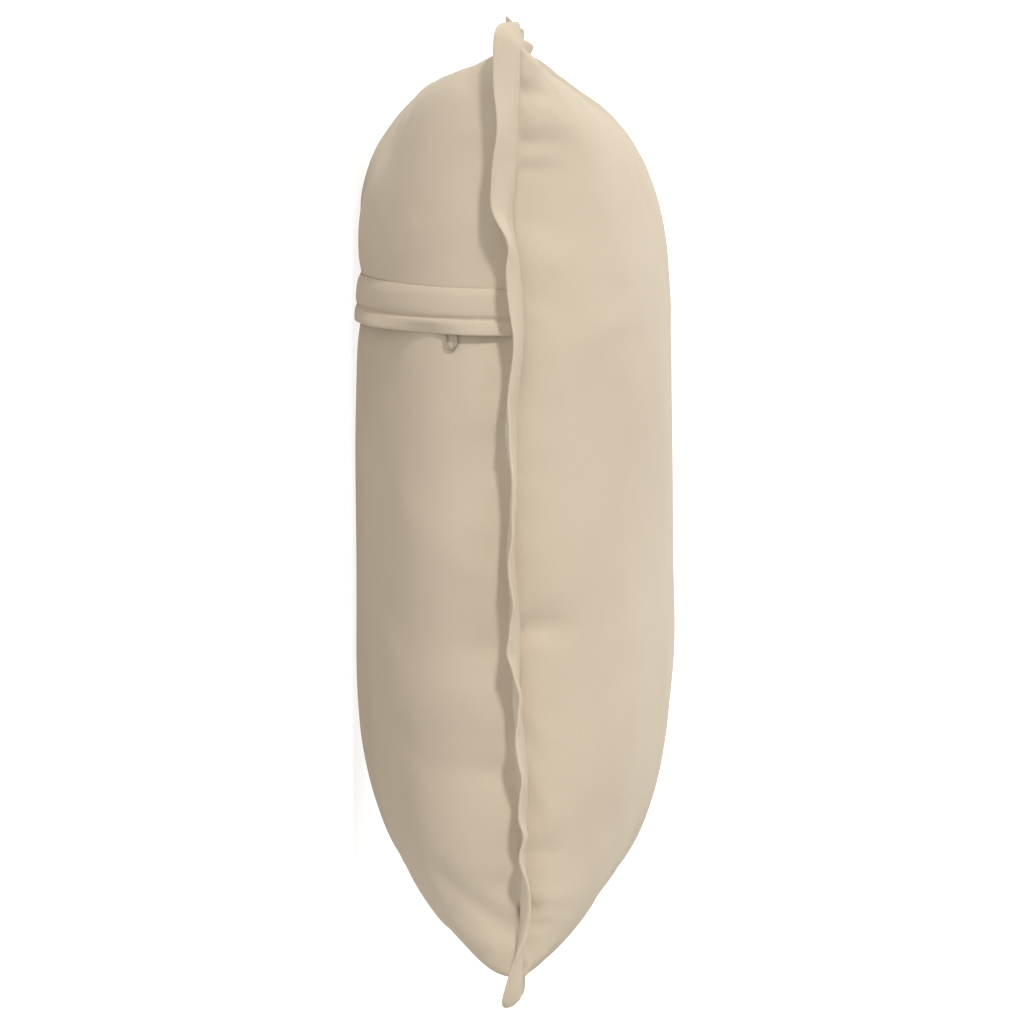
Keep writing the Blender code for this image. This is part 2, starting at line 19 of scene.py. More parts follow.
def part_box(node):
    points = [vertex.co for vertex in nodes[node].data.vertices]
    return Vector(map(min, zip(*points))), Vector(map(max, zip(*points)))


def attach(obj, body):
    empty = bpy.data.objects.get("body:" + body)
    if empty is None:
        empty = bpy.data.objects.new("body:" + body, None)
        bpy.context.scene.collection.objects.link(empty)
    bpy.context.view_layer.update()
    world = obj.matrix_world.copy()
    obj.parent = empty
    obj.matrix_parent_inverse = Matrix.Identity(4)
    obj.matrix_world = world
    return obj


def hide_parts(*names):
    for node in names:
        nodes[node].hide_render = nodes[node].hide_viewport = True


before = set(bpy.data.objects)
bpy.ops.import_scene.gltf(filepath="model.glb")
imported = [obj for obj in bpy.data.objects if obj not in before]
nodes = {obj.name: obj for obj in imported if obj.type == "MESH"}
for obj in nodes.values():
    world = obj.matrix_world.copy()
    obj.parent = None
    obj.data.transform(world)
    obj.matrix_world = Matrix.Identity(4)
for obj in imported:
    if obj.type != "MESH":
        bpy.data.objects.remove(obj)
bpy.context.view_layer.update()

# %% [markdown]
# ## The camera
# The photograph looks straight at one end of the cushion, with the cushion's top edge up and its
# front face to the right. Here the cushion lies on its back, so the camera looks along +X and is
# rolled a quarter turn: the picture's up is +Y and its right is +Z. A long lens from a few metres
# away gives the slight narrowing towards the far end.

# %% Place the camera
VIEW_DISTANCE = 3.60
VIEW_ABOVE = math.radians(3.4)
PICTURE_WIDTH_AT_AIM = 0.3953
SENSOR_WIDTH = 36.0
NEAR_END_X = -0.2845
AIM_Y = 0.0005
AIM_Z = 0.0630

aim = Vector((NEAR_END_X, AIM_Y, AIM_Z))
backwards = Vector((-math.cos(VIEW_ABOVE), math.sin(VIEW_ABOVE), 0))
picture_up = Vector((math.sin(VIEW_ABOVE), math.cos(VIEW_ABOVE), 0))
picture_right = Vector((0, 0, 1))

lens = bpy.data.cameras.new("photo_camera")
lens.sensor_width = SENSOR_WIDTH
lens.lens = SENSOR_WIDTH * VIEW_DISTANCE / PICTURE_WIDTH_AT_AIM
lens.clip_start = 0.1
lens.clip_end = 100
camera = bpy.data.objects.new("photo_camera", lens)
bpy.context.scene.collection.objects.link(camera)
turn = Matrix((picture_right, picture_up, backwards)).transposed().to_4x4()
camera.matrix_world = Matrix.Translation(aim + backwards * VIEW_DISTANCE) @ turn
bpy.context.scene.camera = camera
print("lens", round(lens.lens, 1), "mm, camera at", [round(x, 3) for x in camera.location])

# %% [markdown]
# ## The studio
# The photograph has a pure white ground. Its main light is small, in front of the near end and
# past the top edge, and throws short shadows behind the flange and below the zip flap. Two broad
# soft ones come from the side that the front face looks to: one past the top edge as well, and
# one from the camera's side, which fills the shades. The surround is brightest overhead and at the
# far end, and dimmest behind the camera, so the shadows on the near end stay clear. Floor and
# surround look whiter to the camera than they shine on the cushion. The colours go to the screen
# through the Standard view, which keeps the beige as it is.

# %% Floor and surround
FLOOR_REACH = 40.0
FLOOR_WHITE = 0.35
FLOOR_GLOW = 0.485
FLOOR_WHITE_TO_EYE = 0.80
SURROUND_OVERHEAD = 0.88
SURROUND_FAR_END = 1.46
BACKGROUND_WHITE = 1.05


def add_node(tree, kind, **settings):
    made = tree.nodes.new(kind)
    for key, value in settings.items():
        setattr(made, key, value)
    return made


def maths(tree, operation, *values):
    """A Math node on numbers or sockets; returns its output."""
    made = add_node(tree, "ShaderNodeMath", operation=operation)
    for socket, value in zip(made.inputs, values):
        if isinstance(value, (int, float)):
            socket.default_value = value
        else:
            tree.links.new(value, socket)
    return made.outputs[0]


def shader_of(material):
    material.use_nodes = True
    return material.node_tree.nodes["Principled BSDF"]


pale = bpy.data.materials.new("pale_floor")
floor_shader = shader_of(pale)
floor_tree = pale.node_tree
floor_rays = add_node(floor_tree, "ShaderNodeLightPath")
to_eye = maths(floor_tree, "MULTIPLY", floor_rays.outputs["Is Camera Ray"], FLOOR_WHITE_TO_EYE)
floor_glow = maths(floor_tree, "MAXIMUM", to_eye, FLOOR_GLOW)
floor_tree.links.new(floor_glow, floor_shader.inputs["Emission Strength"])
floor_shader.inputs["Base Color"].default_value = (FLOOR_WHITE, FLOOR_WHITE, FLOOR_WHITE, 1)
floor_shader.inputs["Roughness"].default_value = 0.9
floor_shader.inputs["Specular IOR Level"].default_value = 0.1
floor_shader.inputs["Emission Color"].default_value = (1, 1, 1, 1)

bm = bmesh.new()
bmesh.ops.create_grid(bm, x_segments=1, y_segments=1, size=FLOOR_REACH)
floor_mesh = bpy.data.meshes.new("floor")
bm.to_mesh(floor_mesh)
bm.free()
floor_mesh.materials.append(pale)
floor = bpy.data.objects.new("floor", floor_mesh)
bpy.context.scene.collection.objects.link(floor)

world = bpy.data.worlds.new("surround")
world.use_nodes = True
sky = world.node_tree
background = sky.nodes["Background"]
background.inputs["Color"].default_value = (1, 1, 1, 1)
sky_place = add_node(sky, "ShaderNodeTexCoord")
sky_way = add_node(sky, "ShaderNodeSeparateXYZ")
sky.links.new(sky_place.outputs["Generated"], sky_way.inputs[0])
upwards = maths(sky, "MAXIMUM", sky_way.outputs["Z"], 0)
onwards = maths(sky, "MAXIMUM", sky_way.outputs["X"], 0)
overhead = maths(sky, "MULTIPLY", upwards, SURROUND_OVERHEAD)
far_end = maths(sky, "MULTIPLY", onwards, SURROUND_FAR_END)
shining = maths(sky, "ADD", overhead, far_end)
sky_rays = add_node(sky, "ShaderNodeLightPath")
white = maths(sky, "MULTIPLY", sky_rays.outputs["Is Camera Ray"], BACKGROUND_WHITE)
sky.links.new(maths(sky, "MAXIMUM", shining, white), background.inputs["Strength"])
bpy.context.scene.world = world
bpy.context.scene.view_settings.view_transform = "Standard"
print("floor", 2 * FLOOR_REACH, "m across")

# %% The lamps
LAMPS = {
    "key": {"towards": (-1.0, 0.95, 0.32), "away": 2.4, "size": 0.22, "power": 33.5},
    "upper": {"towards": (-0.2, 0.9, 0.7), "away": 2.2, "size": 1.2, "power": 5.2},
    "fill": {"towards": (-0.75, -0.1, 0.65), "away": 2.4, "size": 2.0, "power": 4.2},
}

for name, plan in LAMPS.items():
    lamp = bpy.data.lights.new(name, "AREA")
    lamp.shape = "DISK"
    lamp.size = plan["size"]
    lamp.energy = plan["power"]
    towards = Vector(plan["towards"]).normalized()
    holder = bpy.data.objects.new(name, lamp)
    holder.location = aim + towards * plan["away"]
    holder.rotation_mode = "QUATERNION"
    holder.rotation_quaternion = towards.to_track_quat("Z", "Y")
    bpy.context.scene.collection.objects.link(holder)
    print("lamp", name, [round(x, 2) for x in holder.location])

# %% [markdown]
# ## The cloth
# The cover is a smooth plain weave in warm beige, matt, with a faint bloom where it turns away.
# The threads are about half a millimetre apart, so they are bump and not geometry. The cloth turns
# every way on a cushion, so the weave is laid on from three sides and blended by the way that the
# surface faces. Slow changes of tone keep it from looking like paint.

# %% A material from small node helpers
CLOTH_TONE = (0.600, 0.510, 0.387)
CLOTH_DARKER = (0.555, 0.464, 0.345)
CLOTH_TONES_BETWEEN = (0.30, 0.62)
CLOUDY_SCALE = 14
CLOUDY_SHARE = 0.75
SLUB_SCALE = 900
SLUB_RELIEF = 1.4
THREAD_PITCH = 0.00055
SIDE_SHARPNESS = 4
BUMP_STRENGTH = 0.30
BUMP_HEIGHT = 0.00006


def noise_at(tree, place, scale, detail):
    """Soft noise over the object's own coordinates."""
    made = add_node(tree, "ShaderNodeTexNoise")
    made.inputs["Scale"].default_value = scale
    made.inputs["Detail"].default_value = detail
    tree.links.new(place, made.inputs["Vector"])
    return made.outputs["Fac"]


def two_tones(tree, factor, darker, tone, between):
    """A colour that goes from the darker tone to the other as the factor rises."""
    ramp = add_node(tree, "ShaderNodeValToRGB")
    for element, position, colour in zip(ramp.color_ramp.elements, between, (darker, tone)):
        element.position = position
        element.color = (*colour, 1)
    tree.links.new(factor, ramp.inputs[0])
    return ramp.outputs[0]


def woven(tree, along, across):
    """Height of a plain weave, from the two ways that its threads run."""
    waves = [maths(tree, "SINE", maths(tree, "MULTIPLY", way, 2 * math.pi / THREAD_PITCH))
             for way in (along, across)]
    return maths(tree, "MULTIPLY", *waves)


def weave_height(tree, place, facing):
    """The weave from three sides, each counting where the surface faces it."""
    total = None
    sides = {"X": ("Y", "Z"), "Y": ("X", "Z"), "Z": ("X", "Y")}
    for way, (along, across) in sides.items():
        share = maths(tree, "POWER", maths(tree, "ABSOLUTE", facing.outputs[way]), SIDE_SHARPNESS)
        threads = woven(tree, place.outputs[along], place.outputs[across])
        height = maths(tree, "MULTIPLY", share, threads)
        total = height if total is None else maths(tree, "ADD", total, height)
    return total


def cloth_material(name, tone, darker):
    material = bpy.data.materials.new(name)
    shader = shader_of(material)
    tree = material.node_tree
    place = add_node(tree, "ShaderNodeTexCoord").outputs["Object"]
    split = add_node(tree, "ShaderNodeSeparateXYZ")
    tree.links.new(place, split.inputs[0])
    normal = add_node(tree, "ShaderNodeNewGeometry")
    facing = add_node(tree, "ShaderNodeSeparateXYZ")
    tree.links.new(normal.outputs["Normal"], facing.inputs[0])

    cloudy = noise_at(tree, place, CLOUDY_SCALE, detail=5)
    slubs = noise_at(tree, place, SLUB_SCALE, detail=2)
    blend = maths(tree, "ADD", maths(tree, "MULTIPLY", cloudy, CLOUDY_SHARE),
                  maths(tree, "MULTIPLY", slubs, 1 - CLOUDY_SHARE))
    colour = two_tones(tree, blend, darker, tone, CLOTH_TONES_BETWEEN)
    tree.links.new(colour, shader.inputs["Base Color"])

    relief = maths(tree, "ADD", weave_height(tree, split, facing),
                   maths(tree, "MULTIPLY", slubs, SLUB_RELIEF))
    bump = add_node(tree, "ShaderNodeBump")
    bump.inputs["Strength"].default_value = BUMP_STRENGTH
    bump.inputs["Distance"].default_value = BUMP_HEIGHT
    tree.links.new(relief, bump.inputs["Height"])
    tree.links.new(bump.outputs[0], shader.inputs["Normal"])

    shader.inputs["Roughness"].default_value = 0.88
    shader.inputs["Specular IOR Level"].default_value = 0.20
    shader.inputs["Sheen Weight"].default_value = 0.10
    shader.inputs["Sheen Roughness"].default_value = 0.5
    shader.inputs["Sheen Tint"].default_value = (1.0, 0.93, 0.82, 1)
    return material


beige_cloth = cloth_material("beige_cloth", CLOTH_TONE, CLOTH_DARKER)
print("cloth threads every", THREAD_PITCH * 1000, "mm")

# %% [markdown]
# ## From solids to cloth
# The frame's solids are loose triangles. A copy is merged at its shared corners, its triangles are
# joined back into quads, and Subdivision Surface then makes them finer and rounder. The helpers
# below do that for every soft piece, and read or write all the points of a mesh at once.

# %% Helpers for copies of the solids
MERGE_WITHIN = 1e-5
ANY_ANGLE = math.radians(180)


def quads_of(node):
    """A bmesh of quads with the shape of a node's solid."""
    bm = bmesh.new()
    bm.from_mesh(nodes[node].data)
    bmesh.ops.remove_doubles(bm, verts=bm.verts[:], dist=MERGE_WITHIN)
    bmesh.ops.join_triangles(bm, faces=bm.faces[:], angle_face_threshold=ANY_ANGLE,
                             angle_shape_threshold=ANY_ANGLE)
    return bm


def make_piece(bm, name, material):
    mesh = bpy.data.meshes.new(name)
    bm.to_mesh(mesh)
    bm.free()
    mesh.shade_smooth()
    mesh.materials.clear()
    mesh.materials.append(material)
    piece = bpy.data.objects.new(name, mesh)
    bpy.context.scene.collection.objects.link(piece)
    return piece


def apply_modifier(piece, modifier):
    with bpy.context.temp_override(object=piece, active_object=piece):
        bpy.ops.object.modifier_apply(modifier=modifier.name)


def subdivide(piece, levels):
    finer = piece.modifiers.new("finer", "SUBSURF")
    finer.levels = levels
    finer.render_levels = levels
    apply_modifier(piece, finer)


def points_of(piece):
    flat = np.empty(3 * len(piece.data.vertices), np.float32)
    piece.data.vertices.foreach_get("co", flat)
    return flat.reshape(-1, 3).astype(float)


def normals_of(piece):
    flat = np.empty(3 * len(piece.data.vertices), np.float32)
    piece.data.vertices.foreach_get("normal", flat)
    return flat.reshape(-1, 3).astype(float)


def set_points(piece, points):
    piece.data.vertices.foreach_set("co", points.astype(np.float32).ravel())
    piece.data.update()


def smooth_step(t):
    t = np.clip(t, 0, 1)
    return t * t * (3 - 2 * t)


def bell(distance, spread):
    return np.exp(-((distance / spread) ** 2))


def nudged(points, touches):
    """Points moved by a few soft touches, each a push around one place that fades with distance."""
    moved = points.copy()
    for touch in touches:
        off = (points - np.array(touch["around"])) / np.array(touch["fade"])
        moved += np.exp(-(off ** 2).sum(axis=1))[:, None] * np.array(touch["push"])
    return moved


def triangles_in(piece):
    return sum(len(face.vertices) - 2 for face in piece.data.polygons)


# %% [markdown]
# ## The filled cover
# The seam runs round the cover as a narrow band, where the flange is sewn on. Every pucker starts
# there, so the script first finds places along the seam, and can then say about how far any point
# lies from it and on which side of the cushion.

# %% Find the seam on the cover
SEAM_BAND = 0.0022
LEFT, RIGHT, BOTTOM, TOP = range(4)

cover_mesh = quads_of("cushion_cover")
cover_solid = BVHTree.FromBMesh(cover_mesh)
seam_edges = [edge for edge in cover_mesh.edges if edge.calc_length() < SEAM_BAND]
seam_places = [(edge.verts[0].co + edge.verts[1].co) / 2 for edge in seam_edges]
seam_tree = KDTree(len(seam_places))
for k, place in enumerate(seam_places):
    seam_tree.insert(place, k)
seam_tree.balance()
END_X = max(place.x for place in seam_places)
EDGE_Y = max(place.y for place in seam_places)
SEAM_Z = sum(place.z for place in seam_places) / len(seam_places)
print("seam found at", len(seam_places), "places, to", round(END_X, 4), round(EDGE_Y, 4))


def seam_facts(points):
    """For each point: how far the nearest place on the seam is, and on which side that lies."""
    distance = np.empty(len(points))
    side = np.empty(len(points), int)
    for k, point in enumerate(points):
        place, _, distance[k] = seam_tree.find(point)
        if abs(place.x) / END_X > abs(place.y) / EDGE_Y:
            side[k] = LEFT if place.x < 0 else RIGHT
        else:
            side[k] = BOTTOM if place.y < 0 else TOP
    return distance, side


# %% [markdown]
# A filled bag doesn't stay smooth: the cloth is a little too long near the seam and crumples into
# short folds. Blender's cloth does that well. The cover is held at its seam, its cloth is made a
# few per cent too large, and pressure fills it. Only the folds are kept: the slow swelling that
# comes with them is taken out again, because the solid already has the plump shape.

# %% Fill the cover
FILLING_STEPS = 20
FILLING_PRESSURE = 4.0
CLOTH_TOO_LARGE = 0.030
CLOTH_STIFFNESS = 12
CLOTH_BENDING = 0.4
HELD_AT_SEAM = 0.0012
FOLDS_UP_TO = 0.0007
SWELLING_ROUNDS = 40
ALMOST_NOTHING = 1e-9
BESIDE_FLAP = 0.012

flap_low, flap_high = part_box("zip_flap")
FLAP_BAND = (flap_low[1], flap_high[1])
FLAP_HALF_LENGTH = flap_high[0]
FLAP_UP_TO = flap_high[2]

cover = make_piece(cover_mesh, "cloth_cover", beige_cloth)
subdivide(cover, 1)


def fill_with_fibre(piece):
    """A short cloth simulation with pressure inside; returns how far each point moved."""
    before = points_of(piece)
    from_seam, _ = seam_facts(before)
    held = piece.vertex_groups.new(name="held")
    held.add([int(k) for k in np.nonzero(from_seam < HELD_AT_SEAM)[0]], 1.0, "REPLACE")
    cloth = piece.modifiers.new("filling", "CLOTH")
    cloth.settings.vertex_group_mass = "held"
    cloth.settings.use_pressure = True
    cloth.settings.uniform_pressure_force = FILLING_PRESSURE
    cloth.settings.shrink_min = -CLOTH_TOO_LARGE
    cloth.settings.shrink_max = -CLOTH_TOO_LARGE
    cloth.settings.effector_weights.gravity = 0
    cloth.settings.tension_stiffness = CLOTH_STIFFNESS
    cloth.settings.compression_stiffness = CLOTH_STIFFNESS
    cloth.settings.bending_stiffness = CLOTH_BENDING
    cloth.collision_settings.use_collision = False
    cloth.point_cache.frame_start = 1
    cloth.point_cache.frame_end = FILLING_STEPS
    for step in range(1, FILLING_STEPS + 1):
        bpy.context.scene.frame_set(step)
    apply_modifier(piece, cloth)
    bpy.context.scene.frame_set(1)
    return before, points_of(piece) - before


def neighbour_mean(values, pairs, counts):
    total = np.zeros_like(values)
    np.add.at(total, pairs[:, 0], values[pairs[:, 1]])
    np.add.at(total, pairs[:, 1], values[pairs[:, 0]])
    return total / counts[:, None]


def without_swelling(piece, moved, rounds):
    """The part of a movement that changes from point to point, and not its slow part."""
    flat = np.empty(2 * len(piece.data.edges), np.int32)
    piece.data.edges.foreach_get("vertices", flat)
    pairs = flat.reshape(-1, 2)
    counts = np.bincount(pairs.ravel(), minlength=len(moved)).astype(float)
    slow = moved.copy()
    for _ in range(rounds):
        slow = (slow + neighbour_mean(slow, pairs, counts)) / 2
    return moved - slow


def beside_flap(points):
    """0 under the zip flap, rising to 1 a little way off it; the front face is all 1."""
    middle = sum(FLAP_BAND) / 2
    half = (FLAP_BAND[1] - FLAP_BAND[0]) / 2
    clear = smooth_step((np.abs(points[:, 1] - middle) - half) / BESIDE_FLAP)
    return np.maximum(clear, smooth_step((points[:, 2] - FLAP_UP_TO) / BESIDE_FLAP))


smooth_points, moved = fill_with_fibre(cover)
folds = without_swelling(cover, moved, SWELLING_ROUNDS)
lengths = np.linalg.norm(folds, axis=1)
usual, most = lengths.mean() * 1000, lengths.max() * 1000
print("folds before the cap, mm:", round(usual, 2), "on average,", round(most, 2), "at most")
cap = FOLDS_UP_TO * np.tanh(lengths / FOLDS_UP_TO) / np.maximum(lengths, ALMOST_NOTHING)
folds = folds * (cap * beside_flap(smooth_points))[:, None]
set_points(cover, smooth_points + folds)

# %% [markdown]
# The photograph shows a few sharper creases that start at the seam, and the filling's own slow
# lumps. The creases of the left end are listed in real sizes. On the sides that the
# photograph doesn't show, creases of the same kind come at uneven distances. None are pressed in
# under the zip flap, so the flap stays close to the cover.

# %% Creases from the seam, and soft lumps
LEFT_FRONT = (
    {"at": 0.1622, "depth": 0.0014, "spread": 0.0036, "reach": 0.018},
    {"at": 0.1425, "depth": 0.0019, "spread": 0.0036, "reach": 0.015},
    {"at": 0.1325, "depth": 0.0017, "spread": 0.0034, "reach": 0.015},
    {"at": 0.1096, "depth": 0.0006, "spread": 0.0060, "reach": 0.022},
    {"at": -0.0454, "depth": 0.0022, "spread": 0.0042, "reach": 0.018},
    {"at": -0.1320, "depth": 0.0012, "spread": 0.0036, "reach": 0.012},
    {"at": -0.1541, "depth": 0.0025, "spread": 0.0026, "reach": 0.013},
    {"at": -0.1596, "depth": 0.0021, "spread": 0.0022, "reach": 0.011},
)
LEFT_BACK = (
    {"at": -0.0539, "depth": 0.0012, "spread": 0.0040, "reach": 0.020},
    {"at": -0.0636, "depth": 0.0010, "spread": 0.0036, "reach": 0.018},
    {"at": -0.1011, "depth": 0.0018, "spread": 0.0046, "reach": 0.028},
    {"at": -0.1448, "depth": 0.0012, "spread": 0.0040, "reach": 0.018},
    {"at": -0.1640, "depth": 0.0024, "spread": 0.0050, "reach": 0.032, "slant": 0.55},
)
END_CREASED_TO = 0.165
EDGE_CREASED_TO = 0.265
CREASE_EVERY = 0.046
CREASE_SIZES = {"depth": (0.0013, 0.0007), "spread": (0.0042, 0.0012), "reach": (0.020, 0.008)}
CREASE_OFF_PLACE = 0.36
CREASE_RISE = 0.0035
LUMPS = ({"size": 0.085, "height": 0.0012}, {"size": 0.030, "height": 0.0002})
LUMPS_RISE = 0.02
NOISE_STEPS = (1.37, 7.3)
NOISE_START = (0.41, 0.19, 2.7)
NOISE_GAIN = 1.6


def uneven(k, channel):
    """A repeatable number from -1 to 1 for the k-th thing."""
    across = k * NOISE_STEPS[0] + NOISE_START[0]
    down = channel * NOISE_STEPS[1] + NOISE_START[1]
    return max(-1.0, min(1.0, NOISE_GAIN * noise.noise(Vector((across, down, NOISE_START[2])))))


def spread_creases(half_length, channel):
    """Creases at uneven places along a side that the photograph doesn't show."""
    count = round(2 * half_length / CREASE_EVERY)
    rows = []
    for k in range(count):
        place = k + 0.5 + CREASE_OFF_PLACE * uneven(k, channel)
        row = {"at": -half_length + place * 2 * half_length / count}
        for step, (size, (usual, change)) in enumerate(CREASE_SIZES.items(), 1):
            row[size] = usual + change * uneven(k, channel + step)
        rows.append(row)
    return rows


CREASES = (
    {"side": LEFT, "front": True, "rows": LEFT_FRONT},
    {"side": LEFT, "front": False, "rows": LEFT_BACK},
    {"side": RIGHT, "front": True, "rows": spread_creases(END_CREASED_TO, 10)},
    {"side": RIGHT, "front": False, "rows": spread_creases(END_CREASED_TO, 20)},
    {"side": BOTTOM, "front": True, "rows": spread_creases(EDGE_CREASED_TO, 30)},
    {"side": BOTTOM, "front": False, "rows": spread_creases(EDGE_CREASED_TO, 40)},
    {"side": TOP, "front": True, "rows": spread_creases(EDGE_CREASED_TO, 50)},
    {"side": TOP, "front": False, "rows": spread_creases(EDGE_CREASED_TO, 60)},
)
print("creases:", [len(group["rows"]) for group in CREASES])


def press_creases(points, normals):
    from_seam, side = seam_facts(points)
    in_front = points[:, 2] > SEAM_Z
    depth = np.zeros(len(points))
    start = smooth_step(from_seam / CREASE_RISE)
    for group in CREASES:
        here = (side == group["side"]) & (in_front == group["front"])
        along = points[:, 1] if group["side"] in (LEFT, RIGHT) else points[:, 0]
        for row in group["rows"]:
            middle = row["at"] + row.get("slant", 0) * from_seam
            line = bell(along - middle, row["spread"]) * bell(from_seam, row["reach"])
            depth += np.where(here, row["depth"] * line * start, 0)
    lumps = np.zeros(len(points))
    for kind in LUMPS:
        lumps += kind["height"] * np.array([noise.noise(Vector(p) / kind["size"]) for p in points])
    lumps *= smooth_step(from_seam / LUMPS_RISE)
    return points + normals * ((lumps - depth) * beside_flap(points))[:, None]


# %% [markdown]
# The last touches are soft pushes by a millimetre or a few, each around one place. They bring the
# outline to the photograph's, such as its full shoulders beside the top edge and the slight hollow
# in its back.

# %% Finish the cover
COVER_TOUCHES = (
    {"around": (-0.150, 0.165, 0.035), "fade": (0.200, 0.020, 0.014), "push": (0, 0.0050, 0)},
    {"around": (-0.150, 0.160, 0.027), "fade": (0.200, 0.014, 0.009), "push": (0, 0.0016, -0.0008)},
    {"around": (-0.150, 0.141, 0.010), "fade": (0.200, 0.016, 0.010), "push": (0, -0.0004, 0.0026)},
    {"around": (-0.275, -0.174, 0.056), "fade": (0.030, 0.014, 0.010), "push": (0, -0.0022, 0)},
    {"around": (-0.170, -0.030, 0.000), "fade": (0.060, 0.075, 0.012), "push": (0, 0, 0.0018)},
    {"around": (0, -0.074, 0.124), "fade": (0.250, 0.030, 0.020), "push": (0, 0, 0.0016)},
    {"around": (0, -0.127, 0.108), "fade": (0.250, 0.016, 0.016), "push": (0, 0.0012, 0)},
    {"around": (0, 0.162, 0.094), "fade": (0.250, 0.016, 0.014), "push": (0, 0.0010, 0)},
)

subdivide(cover, 1)
cover_points = press_creases(points_of(cover), normals_of(cover))
cover_points = nudged(cover_points, COVER_TOUCHES)
cover_points[:, 2] = np.maximum(cover_points[:, 2], 0)
set_points(cover, cover_points)
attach(cover, "root")
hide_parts("cushion_cover")
print("cover:", triangles_in(cover), "triangles")

# %% [markdown]
# ## The flange
# Outside the seam the two layers of cloth are sewn flat together. The edge has crept in the
# sewing, so it waves, and it lies square at the corners. The solid has the main waves. The copy's
# root is pushed into the seam, where it is sewn, and Subdivision Surface rounds its hem. The root
# is the part that all but touches the cover's solid. At a corner it goes in both ways.

# %% Push the root in and round the hem
ROOT_WITHIN = 0.0010
ROOT_PUSHED_IN = 0.0015
CORNER_SHARE = 0.015

flange = make_piece(quads_of("flange"), "cloth_flange", beige_cloth)
flange_points = points_of(flange)
pushed = 0
for k, point in enumerate(flange_points):
    place, _, _, gap = cover_solid.find_nearest(point)
    if gap < ROOT_WITHIN:
        pushed += 1
        past_corner = abs(place.x) / END_X - abs(place.y) / EDGE_Y
        if past_corner > -CORNER_SHARE:
            flange_points[k, 0] -= math.copysign(ROOT_PUSHED_IN, place.x)
        if past_corner < CORNER_SHARE:
            flange_points[k, 1] -= math.copysign(ROOT_PUSHED_IN, place.y)
set_points(flange, flange_points)
subdivide(flange, 2)
print("flange root:", pushed, "of", len(flange_points), "points pushed in")

# %% [markdown]
# The free hem is the nearest thing to the camera, and each of its small waves shows. Those of the
# left end are listed: how far up the end each lies, how far it shifts the hem towards the
# front, and how wide it is. Fine ripples come on top everywhere, and are faint at the left end.
# The corners, or ears, are nudged to the photograph's outline.

# %% Wave the hem and finish the flange
RIPPLE = {"height": 0.0007, "size": 0.011, "at_left_end": 0.25, "starts": 0.003, "rise": 0.012}
FLANGE_WIDTH = 0.015
LEFT_HEM_WAVES = (
    {"at": 0.1375, "shift": -0.0018, "spread": 0.0100},
    {"at": 0.1065, "shift": 0.0027, "spread": 0.0080},
    {"at": 0.0310, "shift": 0.0014, "spread": 0.0120},
    {"at": -0.0100, "shift": 0.0017, "spread": 0.0080},
    {"at": -0.0370, "shift": 0.0016, "spread": 0.0070},
    {"at": -0.0545, "shift": -0.0019, "spread": 0.0050},
    {"at": -0.0715, "shift": 0.0024, "spread": 0.0060},
    {"at": -0.0805, "shift": 0.0012, "spread": 0.0045},
    {"at": -0.1035, "shift": 0.0010, "spread": 0.0050},
    {"at": -0.1250, "shift": 0.0018, "spread": 0.0045},
    {"at": -0.1350, "shift": -0.0015, "spread": 0.0060},
)
EAR_TOUCHES = (
    {"around": (-0.290, 0.191, 0.061), "fade": (0.018, 0.010, 0.012), "push": (0, -0.0026, 0)},
    {"around": (0.290, 0.187, 0.062), "fade": (0.016, 0.014, 0.014), "push": (0, 0.0008, -0.0010)},
    {"around": (-0.290, -0.192, 0.060), "fade": (0.016, 0.008, 0.012), "push": (0, 0.0012, -0.0006)},
)

flange_points = points_of(flange)
out, _ = seam_facts(flange_points)
at_left_end = flange_points[:, 0] < -END_X
ripple = RIPPLE["height"] * np.array([
    noise.noise(Vector((p[0], p[1], 0)) / RIPPLE["size"]) for p in flange_points
])
ripple *= np.where(at_left_end, RIPPLE["at_left_end"], 1)
flange_points[:, 2] += ripple * smooth_step((out - RIPPLE["starts"]) / RIPPLE["rise"])
how_far_out = smooth_step(out / FLANGE_WIDTH)
for wave in LEFT_HEM_WAVES:
    push = wave["shift"] * bell(flange_points[:, 1] - wave["at"], wave["spread"])
    flange_points[:, 2] += np.where(at_left_end, push * how_far_out, 0)
flange_points = nudged(flange_points, EAR_TOUCHES)
set_points(flange, flange_points)
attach(flange, "root")
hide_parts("flange")
print("flange:", triangles_in(flange), "triangles")

# %% [markdown]
# ## The zip flap
# A strip of folded cloth covers the zip. It is sewn along a line a little above its lower edge, so
# that line sinks in and the lower edge stands off as a loose lip. How far it stands off changes
# along the strip, which its shadow in the photograph shows. The upper edge is sewn down, so it is
# pressed close to the cover. The two ends reach up a little, to meet the flange.

# %% Shape the flap
FLAP_WIDTH = 0.0185
FLAP_DIP_AT_ENDS = 0.0023
FLAP_DIP_POWER = 4
GROOVE_ABOVE_LIP = 0.0064
GROOVE_DEEPER = 0.0005
GROOVE_SPREAD = 0.0008
GROOVE_OFF_FLOOR = 0.003
SEWN_EDGE = {"within": 0.0035, "press": 0.0007}
END_STRETCH = {"over": 0.010, "by": 0.0030}
LIP_LIFTS = (
    {"height": 0.000, "lift": 0.0000},
    {"height": 0.004, "lift": 0.0010},
    {"height": 0.010, "lift": 0.0024},
    {"height": 0.018, "lift": 0.0002},
    {"height": 0.024, "lift": -0.0016},
    {"height": 0.030, "lift": -0.0022},
    {"height": 0.036, "lift": -0.0012},
    {"height": 0.044, "lift": 0.0003},
    {"height": 0.052, "lift": 0.0006},
    {"height": 0.070, "lift": 0.0002},
)


def lip_y(x):
    """Where the lip's lower edge lies at a place along the width: it dips towards the ends."""
    from_middle = np.abs(x / FLAP_HALF_LENGTH)
    return FLAP_BAND[0] + FLAP_DIP_AT_ENDS * (1 - from_middle ** FLAP_DIP_POWER)


